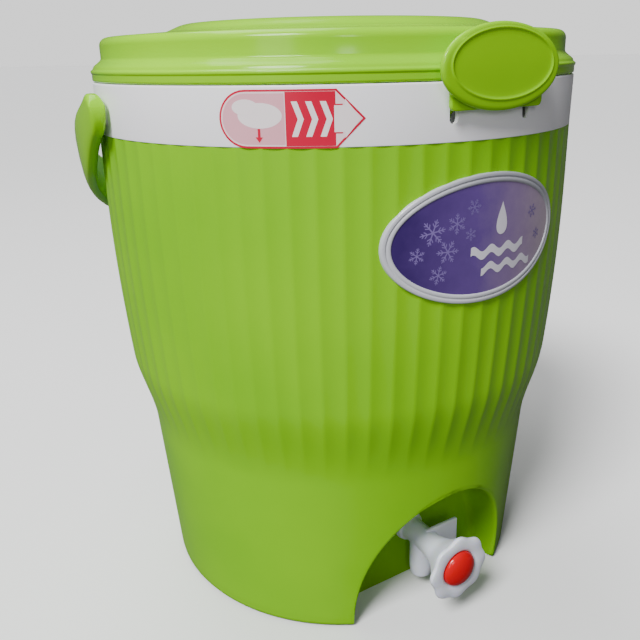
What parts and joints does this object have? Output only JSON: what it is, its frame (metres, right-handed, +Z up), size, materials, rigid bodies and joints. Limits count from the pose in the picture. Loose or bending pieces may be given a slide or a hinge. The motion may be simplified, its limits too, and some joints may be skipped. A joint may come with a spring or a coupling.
{
  "type": "insulated water jug",
  "caption": "Insulated drink jug with a hinged two-tier lid, front pull latch, swinging bail handle, oval label and a push-button tap in an arched alcove at the base.",
  "frame": {"origin": "on the jug's axis, in the plane of its base, where it stands", "axes": "+Z up along the jug's axis; the tap, label and latch face -Y; the lid's hinge is at +Y; the handle's pivots lie along X"},
  "size_m": [0.2982, 0.3064, 0.3378],
  "materials": {
    "green_plastic": "glossy lime-green moulded plastic",
    "insulation_foam": "rigid foam",
    "white_plastic": "satin white moulded plastic",
    "silver_print": "silver foil print",
    "label_print": "laminated purple print",
    "sticker_print": "glossy red print",
    "silicone": "translucent silicone",
    "pin_steel": "drawn wire",
    "tap_plastic": "smooth white plastic",
    "red_plastic": "glossy red plastic",
    "seal_rubber": "black rubber"
  },
  "bodies": {
    "jug": {"outer_shell": "green_plastic", "body_foam": "insulation_foam", "inner_liner": "white_plastic", "top_band": "white_plastic", "label_frame": "silver_print", "label_film": "label_print", "pull_sticker": "sticker_print", "handle_pivot_pins": "white_plastic", "lid_hinge_pin": "pin_steel", "latch_pin": "pin_steel", "tap_body": "tap_plastic", "tap_bonnet": "tap_plastic", "tap_outer_gasket": "silicone", "tap_inner_gasket": "silicone", "tap_lock_nut": "tap_plastic", "tap_spring": "pin_steel"},
    "lid": {"lid_shell": "green_plastic", "lid_foam": "insulation_foam", "lid_liner": "white_plastic", "lid_gasket": "silicone"},
    "latch": {"latch_bracket": "green_plastic", "latch_plate": "green_plastic"},
    "handle": {"handle": "green_plastic"},
    "button": {"tap_button": "red_plastic", "tap_stem": "tap_plastic", "tap_valve_seal": "seal_rubber"}
  },
  "joints": [
    {"name": "lid_hinge", "type": "hinge", "parent": "jug", "child": "lid", "pos_m": [0, 0.145, 0.311], "axis": [-1, 0, 0], "range_deg": [0, 100]},
    {"name": "latch_pivot", "type": "hinge", "parent": "jug", "child": "latch", "pos_m": [0, -0.1295, 0.293], "axis": [1, 0, 0], "range_deg": [0, 36]},
    {"name": "handle_swing", "type": "hinge", "parent": "jug", "child": "handle", "pos_m": [0, 0, 0.292], "axis": [1, 0, 0], "range_deg": [0, 236]},
    {"name": "tap_press", "type": "slide", "parent": "jug", "child": "button", "axis": [0, 1, 0], "range_m": [0, 0.004], "stiffness_N_per_m": 300, "springref_m": -0.003, "deforming": ["tap_spring"]}
  ]
}
